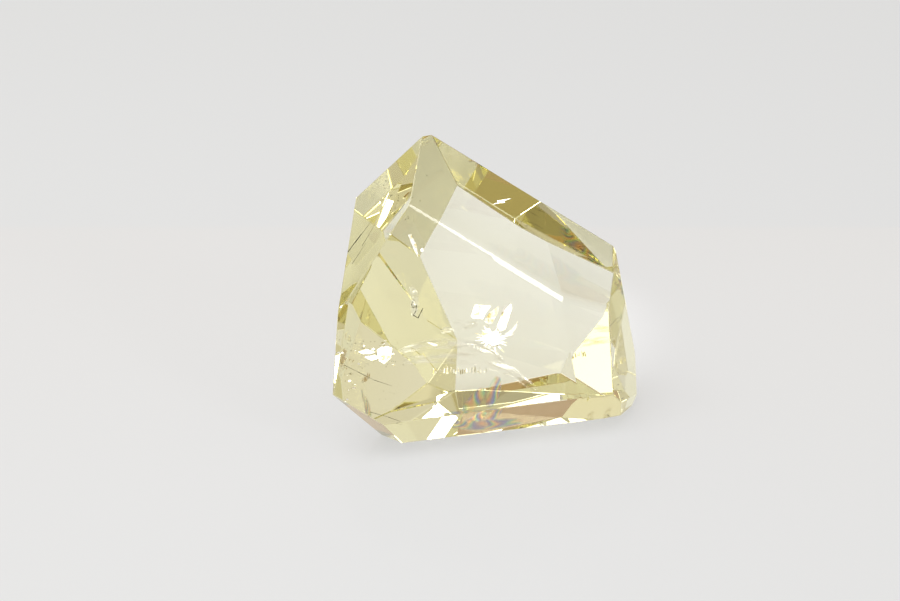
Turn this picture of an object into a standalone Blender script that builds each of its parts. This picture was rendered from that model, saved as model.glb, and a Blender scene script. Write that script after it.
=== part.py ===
"""Citrine crystal point: one piece of clear lemon quartz, ground to flat facets and polished.

It stands on a flat base and widens above it. A steep front face takes most of the width, the tip sits
high on the left, and a long roof facet runs from the tip down to the right shoulder. Lengths are in metres, +Z is up,
and the origin is under the middle of the stone, where its base stands.
"""

from math import cos, radians, sin

import bmesh
import bpy
from mathutils import Vector

MM = 0.001

# The rough block that the facets are ground into, and the point that facet distances start from.
ROUGH_SIDE = 90 * MM
HEART_HEIGHT = 15 * MM

# Each facet: the heading it faces (degrees from the front, positive to the right), its tilt
# (degrees, positive looks up) and its distance from the heart of the stone.
FACETS = {
    "front_face": (13.5, 18.5, 6.9 * MM),
    "front_right_face": (21.0, 19.0, 8.2 * MM),
    "front_foot": (15.0, -33.5, 13.5 * MM),
    "front_right_foot": (22.0, -32.0, 15.0 * MM),
    "roof_right": (30.0, 36.5, 10.2 * MM),
    "roof_left": (-41.5, 41.5, 22.5 * MM),
    "left_side": (-100.5, 0.0, 21.2 * MM),
    "left_foot": (-40.5, -44.0, 22.4 * MM),
    "right_side": (67.0, 11.0, 17.9 * MM),
    "right_corner_foot": (60.5, -17.0, 22.2 * MM),
    "right_back_side": (118.0, 9.5, 22.1 * MM),
    "right_back_foot": (143.0, -15.5, 19.9 * MM),
    "back_roof": (160.0, 28.5, 16.9 * MM),
    "back_left_roof": (-150.5, 19.5, 19.5 * MM),
    "back_left_side": (-118.5, -15.0, 15.1 * MM),
    "back_face_left": (180.0, 6.0, 14.3 * MM),
    "back_face_middle": (174.0, 4.5, 14.3 * MM),
    "back_face_right": (170.5, 5.0, 14.7 * MM),
    "back_waist": (176.5, -3.5, 15.2 * MM),
    "back_foot": (-173.5, -32.0, 17.8 * MM),
    "back_heel": (171.5, -69.0, 17.8 * MM),
}

# Clear quartz with a faint iron tint.
CITRINE_COLOUR = (0.93, 0.88, 0.55, 1.0)
QUARTZ_IOR = 1.545
POLISH_ROUGHNESS = 0.02


def clear_scene():
    for thing in list(bpy.data.objects):
        bpy.data.objects.remove(thing, do_unlink=True)


def facing(heading, tilt):
    """The direction that a facet looks in."""
    turn, lift = radians(heading), radians(tilt)
    return Vector((cos(lift) * sin(turn), -cos(lift) * cos(turn), sin(lift)))


def grind(stone, point, outward):
    """Cuts away what lies outside the plane and closes the stone with the new facet."""
    everything = stone.verts[:] + stone.edges[:] + stone.faces[:]
    cut = bmesh.ops.bisect_plane(
        stone, geom=everything, dist=1e-7, plane_co=point, plane_no=outward, clear_outer=True
    )
    rim = [part for part in cut["geom_cut"] if isinstance(part, bmesh.types.BMEdge)]
    if rim:
        bmesh.ops.edgeloop_fill(stone, edges=rim)


def rough_block(stone):
    """A cube that stands on the ground plane."""
    bmesh.ops.create_cube(stone, size=ROUGH_SIDE)
    bmesh.ops.translate(stone, vec=(0, 0, ROUGH_SIDE / 2), verts=stone.verts)


def stand_over_origin(stone):
    """Moves the stone sideways until the origin is under the middle of its outline."""
    across = [corner.co.x for corner in stone.verts]
    along = [corner.co.y for corner in stone.verts]
    middle = Vector((min(across) + max(across), min(along) + max(along), 0)) / 2
    bmesh.ops.translate(stone, vec=-middle, verts=stone.verts)


def citrine():
    material = bpy.data.materials.new("citrine")
    material.use_nodes = True
    shader = material.node_tree.nodes["Principled BSDF"]
    shader.inputs["Base Color"].default_value = CITRINE_COLOUR
    shader.inputs["Roughness"].default_value = POLISH_ROUGHNESS
    shader.inputs["Metallic"].default_value = 0.0
    shader.inputs["IOR"].default_value = QUARTZ_IOR
    shader.inputs["Transmission Weight"].default_value = 1.0
    return material


def crystal():
    stone = bmesh.new()
    rough_block(stone)
    heart = Vector((0, 0, HEART_HEIGHT))
    for heading, tilt, distance in FACETS.values():
        outward = facing(heading, tilt)
        grind(stone, heart + outward * distance, outward)
    bmesh.ops.recalc_face_normals(stone, faces=stone.faces)
    stand_over_origin(stone)
    mesh = bpy.data.meshes.new("crystal")
    stone.to_mesh(mesh)
    stone.free()
    mesh.materials.append(citrine())
    piece = bpy.data.objects.new("crystal", mesh)
    bpy.context.scene.collection.objects.link(piece)


clear_scene()
crystal()
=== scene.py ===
"""Looks of the citrine point: a clear polished stone with its cracks, veils and grains, on a pale table."""

import random
from math import cos, pi, radians, sin, sqrt

import bmesh
import bpy
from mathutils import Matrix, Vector, noise
from mathutils.bvhtree import BVHTree


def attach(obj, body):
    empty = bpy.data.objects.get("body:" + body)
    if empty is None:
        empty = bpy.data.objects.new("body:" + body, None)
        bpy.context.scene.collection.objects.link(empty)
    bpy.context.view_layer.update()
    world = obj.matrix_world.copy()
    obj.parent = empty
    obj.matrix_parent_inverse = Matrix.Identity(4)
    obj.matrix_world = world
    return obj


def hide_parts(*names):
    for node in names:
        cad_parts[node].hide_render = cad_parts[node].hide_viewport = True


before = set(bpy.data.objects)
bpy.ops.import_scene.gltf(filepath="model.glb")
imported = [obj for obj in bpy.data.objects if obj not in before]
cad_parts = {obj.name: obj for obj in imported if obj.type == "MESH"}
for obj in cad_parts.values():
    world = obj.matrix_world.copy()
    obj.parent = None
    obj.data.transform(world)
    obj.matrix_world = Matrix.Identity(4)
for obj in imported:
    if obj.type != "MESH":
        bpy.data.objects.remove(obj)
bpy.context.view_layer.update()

MM = 0.001

# The camera looks along +Y and down at the table. Its frame is 900 by 601 steps. Its place and angle come
# from a fitting program, rounded.
CAMERA_PLACE = Vector((-6.1, -360.5, 178.9)) * MM
CAMERA_DOWN = radians(23.8)
LENS_MM = 100
FILM_MM = 36
FRAME_ACROSS = 900
FRAME_DOWN = 601
FOCAL = FRAME_ACROSS * LENS_MM / FILM_MM
# At the stone, one step of its frame covers this much.
STEP = 0.16 * MM

# Quartz bends light this much.
QUARTZ_IOR = 1.548


def linear(hex_colour, alpha=1.0):
    """An sRGB hex colour as the linear values that a shader takes."""
    channels = [int(hex_colour[i:i + 2], 16) / 255 for i in (0, 2, 4)]
    return tuple(c / 12.92 if c <= 0.04045 else ((c + 0.055) / 1.055) ** 2.4 for c in channels) + (alpha,)


def add(tree, kind, settings=None, inputs=None):
    """Adds a node, gives it its settings, and fills or links its inputs."""
    node = tree.nodes.new(kind)
    for name, value in (settings or {}).items():
        setattr(node, name, value)
    for name, value in (inputs or {}).items():
        if isinstance(value, bpy.types.NodeSocket):
            tree.links.new(value, node.inputs[name])
        else:
            node.inputs[name].default_value = value
    return node


def new_material(name):
    material = bpy.data.materials.new(name)
    material.use_nodes = True
    material.node_tree.nodes.clear()
    return material, material.node_tree


def finish_piece(work, name, material, slot="citrine"):
    """Makes a finished mesh an object, with its place in its mesh. A piece of the stone rides with it."""
    mesh = bpy.data.meshes.new(name)
    work.to_mesh(mesh)
    work.free()
    mesh.materials.append(material)
    piece = bpy.data.objects.new(name, mesh)
    bpy.context.scene.collection.objects.link(piece)
    if slot:
        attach(piece, "root")
    return piece


def facing(heading, tilt):
    """The way a face looks: a heading from the front, to the right, and a tilt upwards, in degrees."""
    turn, up = radians(heading), radians(tilt)
    return Vector((sin(turn) * cos(up), -cos(turn) * cos(up), sin(up)))


# ---- The stone -----------------------------------------------------------------------------------

# Polishing rounds each sharp edge a little. Facets that turn more than SHARP from each other meet in one.
EDGE_ROUNDING = 0.12 * MM
EDGE_SEGMENTS = 2
SHARP = radians(8)
# The long edge between the roof and the front is rubbed rounder. Its facets are given by the heading and
# the tilt that the CAD has.
BROW_REACH = 0.95 * MM
BROW_SEGMENTS = 5
ROOF = (30.0, 36.5)
FRONTS = ((13.5, 18.5), (21.0, 19.0))
SAME_FACET = radians(1)
# The frame's solid is made of triangles, which meet again in whole facets.
FLAT = radians(0.3)
SAME_POINT = 0.001 * MM

# The stone takes mostly blue out of the light. The density says how much of it goes for each metre.
TINT = "EBE365"
TINT_DENSITY = 14.0


def touches(edge, heading, tilt):
    return any(facet.normal.angle(facing(heading, tilt)) < SAME_FACET for facet in edge.link_faces)


def merged_stone():
    """The frame's solid as whole flat facets."""
    work = bmesh.new()
    work.from_mesh(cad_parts["crystal"].data)
    bmesh.ops.remove_doubles(work, verts=work.verts, dist=SAME_POINT)
    bmesh.ops.dissolve_limit(work, angle_limit=FLAT, verts=work.verts, edges=work.edges)
    for facet in work.faces:
        facet.smooth = False
    return work


def citrine():
    """Pale lemon quartz, ground flat and polished: glassy facets that bend the room, and a tint that
    deepens where light has a long way through the stone."""
    material, tree = new_material("polished_citrine_quartz")
    shader = add(tree, "ShaderNodeBsdfPrincipled", None, {
        "Base Color": linear("FFFFFF"),
        "Roughness": 0.0,
        "IOR": QUARTZ_IOR,
        "Transmission Weight": 1.0,
    })
    tint = add(tree, "ShaderNodeVolumeAbsorption", None, {"Color": linear(TINT), "Density": TINT_DENSITY})
    add(tree, "ShaderNodeOutputMaterial", None, {
        "Surface": shader.outputs["BSDF"],
        "Volume": tint.outputs["Volume"],
    })
    return material


def stone():
    """Rounds the solid's edges, and gives back its sharp surface for placing the flaws under."""
    work = merged_stone()
    skin = BVHTree.FromBMesh(work)
    brow = [e for e in work.edges if touches(e, *ROOF) and any(touches(e, *front) for front in FRONTS)]
    bmesh.ops.bevel(
        work, geom=brow, offset=BROW_REACH, offset_type="OFFSET", segments=BROW_SEGMENTS, profile=0.5,
        affect="EDGES", clamp_overlap=True, material=-1,
    )
    sharp = [e for e in work.edges if e.calc_face_angle() > SHARP]
    bmesh.ops.bevel(
        work, geom=sharp, offset=EDGE_ROUNDING, offset_type="OFFSET", segments=EDGE_SEGMENTS, profile=0.5,
        affect="EDGES", clamp_overlap=True, material=-1,
    )
    piece = finish_piece(work, "citrine_stone", citrine())
    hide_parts("crystal")
    return skin


SKIN = stone()


# ---- Places inside the stone ---------------------------------------------------------------------

CRACK_THICKNESS = 0.03 * MM
VEIL_THICKNESS = 0.02 * MM

# A veil's grid: its cells along the path and across it.
VEIL_ROWS = 30
VEIL_COLUMNS = 6
# Its ends have about this share of its middle's width. They are measured a little way in.
END_SHARE = 0.35
END_MARGIN = 0.02
# It fades in from its sides this steeply, and from its ends this many times as steeply.
FADE_STEEPNESS = 2.2
FADE_AT_ENDS = 3
# It waves this often along its path and across it, and each veil takes its waves from another place.
WAVES_ALONG = 5
WAVES_ACROSS = 1.3
SEED_STEP = 1.7


def inside(across, down, depth):
    """The place that the camera sees at a point of its frame, a depth in mm into the stone."""
    forward = Vector((0, cos(CAMERA_DOWN), -sin(CAMERA_DOWN)))
    up = Vector((0, sin(CAMERA_DOWN), cos(CAMERA_DOWN)))
    right = Vector((1, 0, 0))
    ray = forward + right * ((across - FRAME_ACROSS / 2) / FOCAL) - up * ((down - FRAME_DOWN / 2) / FOCAL)
    ray.normalize()
    entry, normal, _, _ = SKIN.ray_cast(CAMERA_PLACE, ray)
    ratio = 1 / QUARTZ_IOR
    slant = -ray.dot(normal)
    bent = ratio * ray + (ratio * slant - sqrt(1 - ratio ** 2 * (1 - slant ** 2))) * normal
    return entry + bent.normalized() * depth * MM


def leaf(work, outline, depth, heading, tilt):
    """One flat crack face. Its corners are points of the frame, and it looks the way that it is told."""
    across = sum(a for a, _ in outline) / len(outline)
    down = sum(d for _, d in outline) / len(outline)
    middle = inside(across, down, depth)
    normal = facing(heading, tilt)
    corners = []
    for point in outline:
        start = inside(*point, 0)
        way = inside(*point, 1) - start
        share = (middle - start).dot(normal) / way.dot(normal)
        corners += bmesh.ops.create_vert(work, co=start + way * share)["vert"]
    bmesh.ops.contextual_create(work, geom=corners)


def curve_point(path, along):
    """A point of the smooth curve through a path's points, and the way from the one before it to the next."""
    span = along * (len(path) - 1)
    first = min(int(span), len(path) - 2)
    share = span - first
    start, end = Vector(path[first]), Vector(path[first + 1])
    before = Vector(path[max(first - 1, 0)])
    after = Vector(path[min(first + 2, len(path) - 1)])
    point = 0.5 * (
        2 * start + (end - before) * share
        + (2 * before - 5 * start + 4 * end - after) * share ** 2
        + (3 * start - before - 3 * end + after) * share ** 3
    )
    return point, end - start


def sheet(work, path, half_width, depth, lean, rumple, seed):
    """A curved veil along a path of the frame's points. Its depth in mm grows by its lean for each mm up from
    the path, and waves by its rumple in mm. Its fade attribute falls to nothing at its rim."""
    fade = work.verts.layers.float.get("fade") or work.verts.layers.float.new("fade")
    made = bmesh.ops.create_grid(work, x_segments=VEIL_ROWS, y_segments=VEIL_COLUMNS, size=1.0)["verts"]
    for corner in made:
        along, side = (corner.co.x + 1) / 2, corner.co.y
        middle, way = curve_point(path, along)
        across_path = Vector((-way.y, way.x)).normalized()
        swell = sin(pi * min(max(along, END_MARGIN), 1 - END_MARGIN))
        spread = half_width * (END_SHARE + (1 - END_SHARE) * swell)
        point = middle + across_path * side * spread
        place = Vector((along * WAVES_ALONG + seed, side * WAVES_ACROSS, seed * SEED_STEP))
        wave = rumple * noise.noise(place)
        back = depth + wave - lean * (point.y - middle.y) * STEP / MM
        from_rim = min(1 - abs(side), FADE_AT_ENDS * along, FADE_AT_ENDS * (1 - along))
        corner[fade] = min(1.0, FADE_STEEPNESS * from_rim)
        corner.co = inside(point.x, point.y, back)


NEEDLE_SIDES = 6
NEEDLE_TIP = 0.4


def streak(work, start, end, depth_start, depth_end, radius):
    """One needle between two points of the frame, thinner at its end. Depths and radius are in mm."""
    first = inside(*start, depth_start)
    last = inside(*end, depth_end)
    way = last - first
    turn = way.to_track_quat("Z", "Y").to_matrix().to_4x4()
    turn.translation = (first + last) / 2
    bmesh.ops.create_cone(
        work, cap_ends=True, segments=NEEDLE_SIDES, radius1=radius * MM, radius2=radius * NEEDLE_TIP * MM,
        depth=way.length, matrix=turn,
    )


def thicken(work, thickness):
    """Gives flat crack faces and veils a little thickness, with their outside out."""
    bmesh.ops.recalc_face_normals(work, faces=work.faces)
    bmesh.ops.solidify(work, geom=work.faces, thickness=thickness)


# ---- Flaws: their finishes -----------------------------------------------------------------------

# The fullest place of a misty crack hides this share of what is behind it.
VEIL_STRENGTH = 0.40
RAINBOW_STRENGTH = 0.42
# How much the fine detail of a pattern of patches shows.
PATCH_ROUGHNESS = 0.62


def patchy(tree, per_mm, low, high, detail, stretch=(1, 1, 1)):
    """How solid a crack is from place to place: the share of it that still holds air, in so many patches to
    the millimetre. Below the low level of the pattern it holds none, and above the high one it is full."""
    place = add(tree, "ShaderNodeTexCoord").outputs["Object"]
    drawn = add(tree, "ShaderNodeMapping", None, {"Vector": place, "Scale": stretch})
    cloud = add(tree, "ShaderNodeTexNoise", None, {
        "Vector": drawn.outputs["Vector"],
        "Scale": per_mm / MM,
        "Detail": detail,
        "Roughness": PATCH_ROUGHNESS,
    })
    cut = add(tree, "ShaderNodeMapRange", {"interpolation_type": "SMOOTHSTEP"}, {
        "Value": cloud.outputs["Fac"], "From Min": low, "From Max": high,
    })
    return cut.outputs[0]


def faded(tree, amount, strength):
    """An amount times the piece's own fade towards its rim."""
    rim = add(tree, "ShaderNodeAttribute", {"attribute_name": "fade"})
    both = add(tree, "ShaderNodeMath", {"operation": "MULTIPLY"}, {0: amount, 1: rim.outputs["Fac"]})
    final = add(tree, "ShaderNodeMath", {"operation": "MULTIPLY"}, {0: both.outputs[0], 1: strength})
    return final.outputs[0]


def air_crack():
    """A fresh inner crack with air in it: it mirrors the light in flashes, white with a little gold. Its
    gold ribs lie about 1 mm apart, and its holes are under half that."""
    material, tree = new_material("silvery_air_crack")
    place = add(tree, "ShaderNodeTexCoord").outputs["Object"]
    ribs = add(tree, "ShaderNodeTexNoise", None, {"Vector": place, "Scale": 0.9 / MM, "Detail": 2.0})
    golden = add(tree, "ShaderNodeMapRange", None, {
        "Value": ribs.outputs["Fac"], "From Min": 0.5, "From Max": 0.68,
    })
    colour = add(tree, "ShaderNodeMix", {"data_type": "RGBA"}, {
        "Factor": golden.outputs[0], "A": linear("FFFFFF"), "B": linear("D9CB8E"),
    })
    shader = add(tree, "ShaderNodeBsdfPrincipled", None, {
        "Base Color": colour.outputs["Result"],
        "Metallic": 1.0,
        "Roughness": 0.18,
        "Alpha": patchy(tree, per_mm=2.6, low=0.22, high=0.44, detail=5.0),
    })
    add(tree, "ShaderNodeOutputMaterial", None, {"Surface": shader.outputs["BSDF"]})
    return material


def healed_veil():
    """A crack that grew shut and kept a mist of tiny bubbles: a thin white haze in wisps of 1 to 4 mm."""
    material, tree = new_material("healed_bubble_veil")
    wisps = patchy(tree, per_mm=0.7, low=0.36, high=0.66, detail=6.0, stretch=(0.35, 1.0, 1.6))
    shader = add(tree, "ShaderNodeBsdfPrincipled", None, {
        "Base Color": linear("FFFFFA"),
        "Metallic": 1.0,
        "Roughness": 0.22,
        "Alpha": faded(tree, wisps, VEIL_STRENGTH),
    })
    add(tree, "ShaderNodeOutputMaterial", None, {"Surface": shader.outputs["BSDF"]})
    return material


# The colours that a film of air turns through as it thickens. Its ends meet in the same violet.
FILM_VIOLET = "B49CC4"
FILM_COLOURS = {0.22: "6E88E8", 0.42: "8FDDBE", 0.6: "F4EC9E", 0.8: "F4B48E"}
FILM_TURNS = 7.0


def rainbow_crack():
    """A crack so thin that its air film splits light: bands of violet, blue, green and orange. The film's
    thickness rolls over about 5 mm and passes through all the colours several times."""
    material, tree = new_material("iridescent_thin_crack")
    place = add(tree, "ShaderNodeTexCoord").outputs["Object"]
    film = add(tree, "ShaderNodeTexNoise", None, {
        "Vector": place, "Scale": 0.2 / MM, "Detail": 0.0, "Distortion": 0.3,
    })
    bands = add(tree, "ShaderNodeMath", {"operation": "MULTIPLY"}, {0: film.outputs["Fac"], 1: FILM_TURNS})
    around = add(tree, "ShaderNodeMath", {"operation": "FRACT"}, {0: bands.outputs[0]})
    colours = add(tree, "ShaderNodeValToRGB", None, {"Fac": around.outputs[0]})
    ramp = colours.color_ramp
    for end in ramp.elements:
        end.color = linear(FILM_VIOLET)
    for stop, colour in FILM_COLOURS.items():
        ramp.elements.new(stop).color = linear(colour)
    patches = patchy(tree, per_mm=0.42, low=0.18, high=0.50, detail=3.0, stretch=(1.6, 1.0, 0.5))
    shader = add(tree, "ShaderNodeBsdfPrincipled", None, {
        "Base Color": colours.outputs["Color"],
        "Metallic": 1.0,
        "Roughness": 0.25,
        "Alpha": faded(tree, patches, RAINBOW_STRENGTH),
    })
    add(tree, "ShaderNodeOutputMaterial", None, {"Surface": shader.outputs["BSDF"]})
    return material


def dark_needle():
    """Goethite needles and grains, grown in: rusty black and dull, mottled every third of a millimetre."""
    material, tree = new_material("goethite_needles")
    place = add(tree, "ShaderNodeTexCoord").outputs["Object"]
    grain = add(tree, "ShaderNodeTexNoise", None, {"Vector": place, "Scale": 3.0 / MM, "Detail": 3.0})
    colours = add(tree, "ShaderNodeMix", {"data_type": "RGBA"}, {
        "Factor": grain.outputs["Fac"], "A": linear("3A3A1C"), "B": linear("7A6A34"),
    })
    shader = add(tree, "ShaderNodeBsdfPrincipled", None, {
        "Base Color": colours.outputs["Result"], "Roughness": 0.55,
    })
    add(tree, "ShaderNodeOutputMaterial", None, {"Surface": shader.outputs["BSDF"]})
    return material


AIR = air_crack()
VEIL = healed_veil()
RAINBOW = rainbow_crack()
NEEDLE = dark_needle()


# ---- Flaws: their shapes -------------------------------------------------------------------------

# A crack under the front that has about this heading and tilt mirrors the overhead softbox to the camera,
# and under the roof it is another. A veil that is turned so gets deeper by VEIL_LEAN for each mm up.
FRONT_FLASH = (0, 37)
ROOF_FLASH = (7, 47)
VEIL_LEAN = 0.27
# Chips and crumbs lie looser, so that some flash and some stay grey.
LOOSE_HEADINGS = (-9, 9)
LOOSE_TILTS = (29, 45)

# Crack faces: the corners as points of the frame, the depth in mm, and the heading and tilt in degrees.
FLAKES = {
    "square flake": (
        ((471, 316), (475, 304.5), (491, 306), (485, 314), (483, 319), (473, 318.5)), 5.0, 2, 36,
    ),
    "short blade": (((484, 321), (489, 313), (499, 306), (498, 313), (492, 323.5), (487, 324)), 5.5, -3, 38),
    "long blade": (
        ((497, 326), (503, 312), (511, 303.5), (512, 308), (508, 321), (505, 330), (500, 331)), 5.8, 1, 37,
    ),
    "blade behind": (((499, 318), (503, 308), (507, 304), (504, 313)), 6.2, 8, 33),
    "hook": (((505, 334), (512, 329), (518, 321), (516, 328), (510, 336)), 6.5, 6, 40),
}


def feather_crack():
    """The stack of bright flakes in the middle."""
    work = bmesh.new()
    for flake in FLAKES.values():
        leaf(work, *flake)
    thicken(work, CRACK_THICKNESS)
    finish_piece(work, "feather_crack", AIR)


# The star: its middle and its ragged heart as points of the frame, and the heart's depth in mm.
STAR_MIDDLE = (492, 339)
STAR_HEART = ((482, 334), (487, 328), (492, 332), (498, 331), (501, 339), (499, 344), (492, 346), (485, 341))
STAR_HEART_DEPTH = 5.5
# It is this tall for its width.
STAR_FLATNESS = 0.75
# Its rays: how many, their root, reach and half width in steps of the frame, their sway in radians, the first
# one's depth in mm with what each next one adds, and the way that they look.
RAYS = 19
RAY_ROOT = 4
RAY_REACH = (13, 24)
RAY_HALF_WIDTH = 1.3
RAY_SWAY = (-0.12, 0.12)
RAY_DEPTH = 5.4
RAY_DEPTH_STEP = 0.05
RAY_HEADINGS = (-3, 3)
RAY_TILTS = (35, 39)


def star_crack():
    """The white burst under the flakes: a ragged middle with thin rays."""
    work = bmesh.new()
    chance = random.Random(7)
    leaf(work, STAR_HEART, STAR_HEART_DEPTH, *FRONT_FLASH)
    for ray in range(RAYS):
        turn = 2 * pi * ray / RAYS + chance.uniform(*RAY_SWAY)
        reach = chance.uniform(*RAY_REACH)
        way = (cos(turn), STAR_FLATNESS * sin(turn))
        tip = (STAR_MIDDLE[0] + reach * way[0], STAR_MIDDLE[1] + reach * way[1])
        root = (STAR_MIDDLE[0] + RAY_ROOT * way[0], STAR_MIDDLE[1] + RAY_ROOT * way[1])
        side = (-sin(turn) * RAY_HALF_WIDTH, cos(turn) * RAY_HALF_WIDTH)
        outline = ((root[0] + side[0], root[1] + side[1]), tip, (root[0] - side[0], root[1] - side[1]))
        depth = RAY_DEPTH + RAY_DEPTH_STEP * ray
        leaf(work, outline, depth, chance.uniform(*RAY_HEADINGS), chance.uniform(*RAY_TILTS))
    thicken(work, CRACK_THICKNESS)
    finish_piece(work, "star_crack", AIR)


# Corners as points of the frame, and depths in mm.
HAIR_CRACK_DEPTH = 1.5
LEFT_DEPTH = 3.0
GOLD_FLASH = (5, 40)
HAIR_CRACK = ((492, 204.5), (497, 200.5), (504, 201), (511, 198.5), (505, 202.5), (498, 202.5))
GOLD_WEDGE = ((408, 235), (411, 234), (417, 246), (418, 257), (414, 250))
WHITE_DOT = ((420.5, 249), (423, 248), (423.5, 251), (421, 252))


def roof_crack():
    """A bright hair crack under the roof, and a small wedge and a dot at the left of the front face."""
    work = bmesh.new()
    leaf(work, HAIR_CRACK, HAIR_CRACK_DEPTH, *ROOF_FLASH)
    leaf(work, GOLD_WEDGE, LEFT_DEPTH, *GOLD_FLASH)
    leaf(work, WHITE_DOT, LEFT_DEPTH, *FRONT_FLASH)
    thicken(work, CRACK_THICKNESS)
    finish_piece(work, "roof_crack", AIR)


# The chips: how many, where their row starts and the line it follows in the frame, their pitch, sway, reach
# above and below the line and width in its steps, and their depth in mm.
CHIPS = 26
CHIPS_LEFT = 433
CHIPS_LINE = 371
CHIP_PITCH = 2.1
CHIP_SWAY = (-0.8, 0.8)
CHIP_ABOVE = (0.5, 5.0)
CHIP_BELOW = (0.5, 3.0)
CHIP_WIDTHS = (0.7, 1.9)
CHIP_DEPTH = 9.0


def chip_row():
    """A row of little upright chips, like saw teeth, over the coloured cracks."""
    work = bmesh.new()
    chance = random.Random(11)
    for chip in range(CHIPS):
        left = CHIPS_LEFT + CHIP_PITCH * chip + chance.uniform(*CHIP_SWAY)
        top = CHIPS_LINE - chance.uniform(*CHIP_ABOVE)
        foot = CHIPS_LINE + chance.uniform(*CHIP_BELOW)
        wide = chance.uniform(*CHIP_WIDTHS)
        # A ragged upright sliver.
        outline = (
            (left, foot),
            (left + 0.3 * wide, top),
            (left + wide, top + 1.2),
            (left + 0.8 * wide, foot + 0.6),
        )
        leaf(work, outline, CHIP_DEPTH, chance.uniform(*LOOSE_HEADINGS), chance.uniform(*LOOSE_TILTS))
    thicken(work, CRACK_THICKNESS)
    finish_piece(work, "chip_row", AIR)


# Veils: the path as points of the frame, half the width in its steps, and the depth and the rumple in mm.
VEILS = {
    "upper sweep": (((398, 352), (425, 345), (455, 344), (482, 348), (505, 360)), 6.5, 5, 0.1),
    "lower sweep": (((402, 362), (430, 358), (462, 358), (492, 364), (515, 374), (537, 391)), 8.0, 5, 0.1),
    "wisp by the flakes": (((440, 332), (458, 326), (478, 324)), 6.0, 7, 0.1),
    "trail of the curl": (((411, 286), (415, 300), (413, 318)), 5.0, 5, 0.1),
    "left wisp": (((352, 330), (366, 350), (392, 362)), 5.0, 9, 0.15),
}


def veils():
    """Misty sheets that sweep from the left under the star and down to the right."""
    work = bmesh.new()
    for seed, (path, half_width, depth, rumple) in enumerate(VEILS.values(), start=1):
        sheet(work, path, half_width, depth, VEIL_LEAN, rumple, seed)
    thicken(work, VEIL_THICKNESS)
    finish_piece(work, "veils", VEIL)


RAINBOW_RUMPLE = 0.1
# Coloured cracks: the path as points of the frame, half the width in its steps, the depth in mm and the lean.
RAINBOWS = {
    "right streak": (((498, 376), (494, 391), (488, 408)), 7.0, 9, VEIL_LEAN),
    "left streak": (((484, 388), (475, 400), (463, 412)), 7.0, 9, VEIL_LEAN),
    "band along the foot": (((446, 424), (480, 425), (524, 421)), 6.0, 4, -0.1),
}


def rainbow():
    """Two short coloured streaks low in the middle, and a faint coloured band under them."""
    work = bmesh.new()
    for seed, (path, half_width, depth, lean) in enumerate(RAINBOWS.values(), start=8):
        sheet(work, path, half_width, depth, lean, RAINBOW_RUMPLE, seed)
    thicken(work, VEIL_THICKNESS)
    finish_piece(work, "rainbow_crack", RAINBOW)


# Needles: both ends as points of the frame, and the depth at each end and the radius in mm.
NEEDLES = (
    ((348, 252), (361, 234), 0.6, 1.2, 0.09),
    ((355, 243), (373, 219), 1.5, 2.5, 0.05),
    ((362, 246), (374, 226), 1.8, 2.4, 0.04),
    ((352, 264), (366, 243), 1.0, 1.8, 0.04),
)
# Thin dark lines that curve in low on the left.
LINE_DEPTH = 1.5
LINE_RADIUS = 0.045
DARK_LINES = (
    ((344, 365), (358, 372), (374, 380), (392, 386)),
    ((370, 412), (388, 417), (402, 422)),
)


def needles():
    """The dark needles at the left edge, and the thin dark lines below them."""
    work = bmesh.new()
    for needle in NEEDLES:
        streak(work, *needle)
    for line in DARK_LINES:
        for first, last in zip(line, line[1:]):
            streak(work, first, last, LINE_DEPTH, LINE_DEPTH, LINE_RADIUS)
    finish_piece(work, "needles", NEEDLE)


# The curl's depths and radius are in mm, and its points lie in the frame. Each short length of it goes a
# little deeper and ends thinner, which leaves it knotty.
CURL_DEPTHS = (5.0, 5.2)
CURL_RADIUS = 0.09
CURL = (
    (414, 300), (411.5, 304), (413, 308), (416.5, 305), (416, 311),
    (413, 315), (418, 318), (421, 312), (423, 308),
)


def curl():
    """A little dark curl in the upper middle."""
    work = bmesh.new()
    for first, last in zip(CURL, CURL[1:]):
        streak(work, first, last, *CURL_DEPTHS, CURL_RADIUS)
    finish_piece(work, "curl", NEEDLE)


# Loose grains lie this deep, in mm, and each is such a share of the largest in its drift.
GRAIN_DEPTHS = (2, 9)
GRAIN_SHARES = (0.3, 1.0)
# Drifts of grains: how many, from left to right and from top to bottom in the frame, and the largest grain's
# radius in mm.
GRAIN_DRIFTS = (
    (28, (345, 405), (338, 368), 0.10),
    (14, (345, 400), (372, 400), 0.07),
    (10, (418, 450), (155, 190), 0.07),
    (16, (389, 400), (194, 213), 0.13),
    (1, (426, 427), (175, 176), 0.16),
    (10, (480, 530), (200, 235), 0.06),
    (12, (380, 560), (220, 330), 0.05),
    (8, (470, 600), (340, 420), 0.05),
)


def specks():
    """Loose dark grains, each a small uneven ball."""
    work = bmesh.new()
    chance = random.Random(21)
    for count, across, down, largest in GRAIN_DRIFTS:
        for _ in range(count):
            where = inside(chance.uniform(*across), chance.uniform(*down), chance.uniform(*GRAIN_DEPTHS))
            grain = bmesh.ops.create_icosphere(work, subdivisions=1, radius=1.0)["verts"]
            size = [largest * MM * chance.uniform(*GRAIN_SHARES) for _ in range(3)]
            for corner in grain:
                corner.co = Vector(c * s for c, s in zip(corner.co, size)) + where
    finish_piece(work, "specks", NEEDLE)


# Flakes low on the left, given as the others are.
LEFT_FLAKES = {
    "large flake": (((377, 350), (384, 345), (392, 348), (391, 358), (384, 364), (378, 360)), 4.0, 0, 37),
    "left flake": (((358, 352), (366, 349), (376, 352), (370, 354), (362, 354)), 3.5, 3, 39),
    "lower flake": (((364, 357), (374, 354), (380, 358), (372, 361)), 3.8, -3, 35),
    "far flake": (((426, 342), (432, 343), (438, 345), (434, 346)), 5.5, 2, 38),
}
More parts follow.
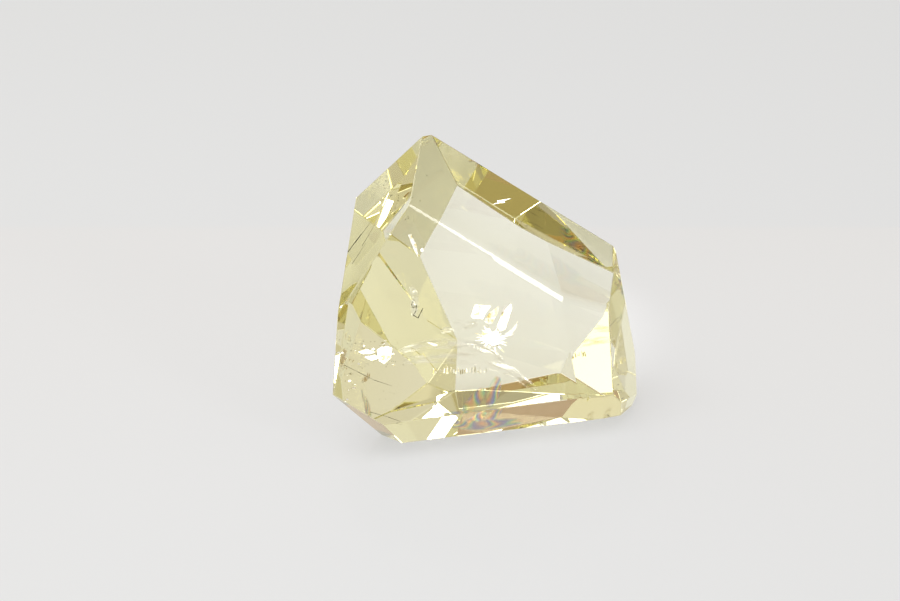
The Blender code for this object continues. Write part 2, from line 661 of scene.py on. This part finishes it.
# Crumbs of broken crack: how many, and where they lie in the frame from left to right and top to bottom.
CRUMBS = ((26, (340, 395), (340, 366)), (16, (341, 356), (373, 404)))
# Each has four ragged corners, given by their turn in radians. Its size is in steps of the frame, its
# flatness is its height for its width, and its depth is in mm.
CRUMB_CORNERS = (0, 1.6, 3.0, 4.6)
CRUMB_SIZES = (0.8, 2.4)
CRUMB_RAGGED = (0.7, 1.4)
CRUMB_FLATNESS = 0.6
CRUMB_DEPTHS = (2.5, 5.5)


def left_cracks():
    """The crumbled place low on the left: pale flakes among crumbs."""
    work = bmesh.new()
    chance = random.Random(5)
    for flake in LEFT_FLAKES.values():
        leaf(work, *flake)
    for count, left_to_right, top_to_bottom in CRUMBS:
        for _ in range(count):
            across, down = chance.uniform(*left_to_right), chance.uniform(*top_to_bottom)
            size = chance.uniform(*CRUMB_SIZES)
            turn = chance.uniform(0, pi)
            outline = [
                (
                    across + size * cos(turn + corner) * chance.uniform(*CRUMB_RAGGED),
                    down + size * sin(turn + corner) * CRUMB_FLATNESS,
                )
                for corner in CRUMB_CORNERS
            ]
            depth = chance.uniform(*CRUMB_DEPTHS)
            leaf(work, outline, depth, chance.uniform(*LOOSE_HEADINGS), chance.uniform(*LOOSE_TILTS))
    thicken(work, CRACK_THICKNESS)
    finish_piece(work, "left_cracks", AIR)


feather_crack()
star_crack()
roof_crack()
chip_row()
veils()
rainbow()
needles()
curl()
specks()
left_cracks()


# ---- Table, light and camera ---------------------------------------------------------------------

TABLE_HALF = 600 * MM
# The table's painted glow: light that the table gives off itself, though no lamp is under it.
TABLE_PAINTED_GLOW = 0.5
# A film of air stays between the stone and the table.
AIR_GAP = 0.06 * MM
# The flag: how far behind the stone it stands, and its height and width.
FLAG_BACK = 80 * MM
FLAG_HIGH = 60 * MM
FLAG_WIDE = 420 * MM


def table_top():
    """A pale table with a painted glow: it gives off even light of its own, which keeps it bright even under
    the stone, where shade would fall.
    """
    material, tree = new_material("pale_table_painted_glow")
    shader = add(tree, "ShaderNodeBsdfPrincipled", None, {
        "Base Color": linear("85878A"),
        "Roughness": 0.5,
        # Painted glow: the emission lights the whole table evenly and fills in the shade under the stone.
        "Emission Color": linear("FFFFFF"),
        "Emission Strength": TABLE_PAINTED_GLOW,
    })
    add(tree, "ShaderNodeOutputMaterial", None, {"Surface": shader.outputs["BSDF"]})
    work = bmesh.new()
    bmesh.ops.create_grid(work, x_segments=1, y_segments=1, size=TABLE_HALF)
    bmesh.ops.translate(work, verts=work.verts, vec=(0, 0, -AIR_GAP))
    finish_piece(work, "floor", material, None)


def studio_flag():
    """A tan felt flag behind the stone, out of the camera's sight. The stone's dark parts come from it."""
    material, tree = new_material("tan_felt")
    shader = add(tree, "ShaderNodeBsdfPrincipled", None, {
        "Base Color": linear("C0A27C"), "Roughness": 0.9,
    })
    add(tree, "ShaderNodeOutputMaterial", None, {"Surface": shader.outputs["BSDF"]})
    work = bmesh.new()
    bmesh.ops.create_grid(work, x_segments=1, y_segments=1, size=0.5)
    for corner in work.verts:
        corner.co = Vector((corner.co.x * FLAG_WIDE, FLAG_BACK, (corner.co.y + 0.5) * FLAG_HIGH))
    flag = finish_piece(work, "studio_flag", material, None)
    flag.visible_camera = False
    flag.visible_shadow = False
    flag.visible_diffuse = False


# The tones of the light round the stone. A fitting program chose them, for what the facets show, and some
# were then changed a little. They stand for no real things, and each is named for its look.
DARK_BROWN = "625646"
DARK_GREY = "787468"
SAGE = "C8C4A8"
SOFT_WHITE = "F6F6F2"
MID_GREY = "AEA7A2"
BRIGHT_WHITE = "FCFCFC"
OFF_WHITE = "E8E4E0"
PALE_GREY = "D8D3CC"
PUTTY = "BEB8AE"
STRAW = "B4A878"
KHAKI = "A8A088"
CEILING = "FFFBF8"
# The two rings go from straight behind the stone by its left, its front and its right to behind again: one
# near the horizon, and one at the height of a window.
ROOM_LOW = (
    DARK_BROWN, SAGE, SOFT_WHITE, MID_GREY, BRIGHT_WHITE, OFF_WHITE, OFF_WHITE, DARK_GREY, DARK_BROWN,
)
ROOM_HIGH = (PUTTY, SAGE, SOFT_WHITE, PALE_GREY, PALE_GREY, PALE_GREY, STRAW, KHAKI, PUTTY)
# Between these heights, as sines of the lift, the low ring turns into the high one.
LOW_TO_HIGH = (0.30, 0.62)
# Between these, the high ring turns into the ceiling.
HIGH_TO_CEILING = (0.78, 0.92)


def studio_room():
    """Soft light from all round: pale, with a dark brown stretch low behind the stone."""
    world = bpy.data.worlds.new("soft_studio")
    world.use_nodes = True
    tree = world.node_tree
    tree.nodes.clear()
    where = add(tree, "ShaderNodeTexCoord").outputs["Generated"]
    parts = add(tree, "ShaderNodeSeparateXYZ", None, {"Vector": where})
    front = add(tree, "ShaderNodeMath", {"operation": "MULTIPLY"}, {0: parts.outputs["Y"], 1: -1.0})
    angle = add(tree, "ShaderNodeMath", {"operation": "ARCTAN2"}, {
        0: parts.outputs["X"], 1: front.outputs[0],
    })
    # The turn runs from 0 to 1.
    turn = add(tree, "ShaderNodeMath", {"operation": "MULTIPLY_ADD"}, {
        0: angle.outputs[0], 1: 0.5 / pi, 2: 0.5,
    })
    rings = []
    for tones in (ROOM_LOW, ROOM_HIGH):
        ring = add(tree, "ShaderNodeValToRGB", None, {"Fac": turn.outputs[0]})
        ramp = ring.color_ramp
        ramp.interpolation = "EASE"
        for step, tone in enumerate(tones):
            # A new ramp has two stops already.
            stop = ramp.elements[step] if step < 2 else ramp.elements.new(1.0)
            stop.position = step / (len(tones) - 1)
            stop.color = linear(tone)
        rings.append(ring.outputs["Color"])
    room, above = rings
    for (start, end), next_tone in ((LOW_TO_HIGH, above), (HIGH_TO_CEILING, linear(CEILING))):
        share = add(tree, "ShaderNodeMapRange", {"interpolation_type": "SMOOTHSTEP"}, {
            "Value": parts.outputs["Z"], "From Min": start, "From Max": end,
        })
        room = add(tree, "ShaderNodeMix", {"data_type": "RGBA"}, {
            "Factor": share.outputs[0], "A": room, "B": next_tone,
        }).outputs["Result"]
    sky = add(tree, "ShaderNodeBackground", None, {"Color": room, "Strength": 1.0})
    add(tree, "ShaderNodeOutputWorld", None, {"Surface": sky.outputs[0]})
    bpy.context.scene.world = world


# Square soft lights that face the stone: the heading from the front and the lift above the table in degrees,
# the distance and the size in mm, and the brightness.
SOFTBOXES = {
    # It lights the cracks inside, which mirror it.
    "overhead_softbox": (-65, 70, 480, 330, 3.0),
    # The rounded edge under the roof catches it.
    "right_window": (45, 28, 600, 130, 8.0),
    # It shines back from the fan at the right foot.
    "front_window": (15, 24, 600, 70, 1.15),
    # It shows low in the middle.
    "back_window": (-169, 42, 600, 50, 6.0),
}
STONE_MIDDLE = Vector((0, 0, 20)) * MM


def softbox(name, heading, lift, distance, size, brightness):
    lamp = bpy.data.lights.new(name, "AREA")
    lamp.shape = "SQUARE"
    lamp.size = size * MM
    lamp.energy = brightness * pi * (size * MM) ** 2
    light = bpy.data.objects.new(name, lamp)
    light.location = facing(heading, lift) * distance * MM
    light.rotation_euler = (STONE_MIDDLE - light.location).to_track_quat("-Z", "Y").to_euler()
    bpy.context.scene.collection.objects.link(light)


# A narrow spot behind the stone, and the place on the table where its pool of light lies.
POOL_SPOT = Vector((10, 150, 190)) * MM
POOL = Vector((5, 35, 0)) * MM
POOL_ANGLE = radians(15)
POOL_POWER = 0.8
POOL_SOFTNESS = 0.8
POOL_LAMP_RADIUS = 4 * MM


def pool_spot():
    """It makes the table bright where the front face looks."""
    lamp = bpy.data.lights.new("pool_spot", "SPOT")
    lamp.energy = POOL_POWER
    lamp.spot_size = POOL_ANGLE
    lamp.spot_blend = POOL_SOFTNESS
    lamp.shadow_soft_size = POOL_LAMP_RADIUS
    light = bpy.data.objects.new("pool_spot", lamp)
    light.location = POOL_SPOT
    light.rotation_euler = (POOL - POOL_SPOT).to_track_quat("-Z", "Y").to_euler()
    bpy.context.scene.collection.objects.link(light)


def camera():
    data = bpy.data.cameras.new("camera")
    data.lens = LENS_MM
    data.sensor_width = FILM_MM
    data.clip_start = 10 * MM
    view = bpy.data.objects.new("camera", data)
    view.location = CAMERA_PLACE
    view.rotation_euler = (radians(90) - CAMERA_DOWN, 0, 0)
    bpy.context.scene.collection.objects.link(view)
    bpy.context.scene.camera = view
    bpy.context.scene.view_settings.view_transform = "Standard"


# Light is mirrored many times inside the stone before it finds a way out.
INNER_BOUNCES = 16


def light_paths():
    paths = bpy.context.scene.cycles
    paths.max_bounces = INNER_BOUNCES
    paths.glossy_bounces = INNER_BOUNCES
    paths.transmission_bounces = INNER_BOUNCES


table_top()
studio_flag()
studio_room()
for name, place in SOFTBOXES.items():
    softbox(name, *place)
pool_spot()
camera()
light_paths()
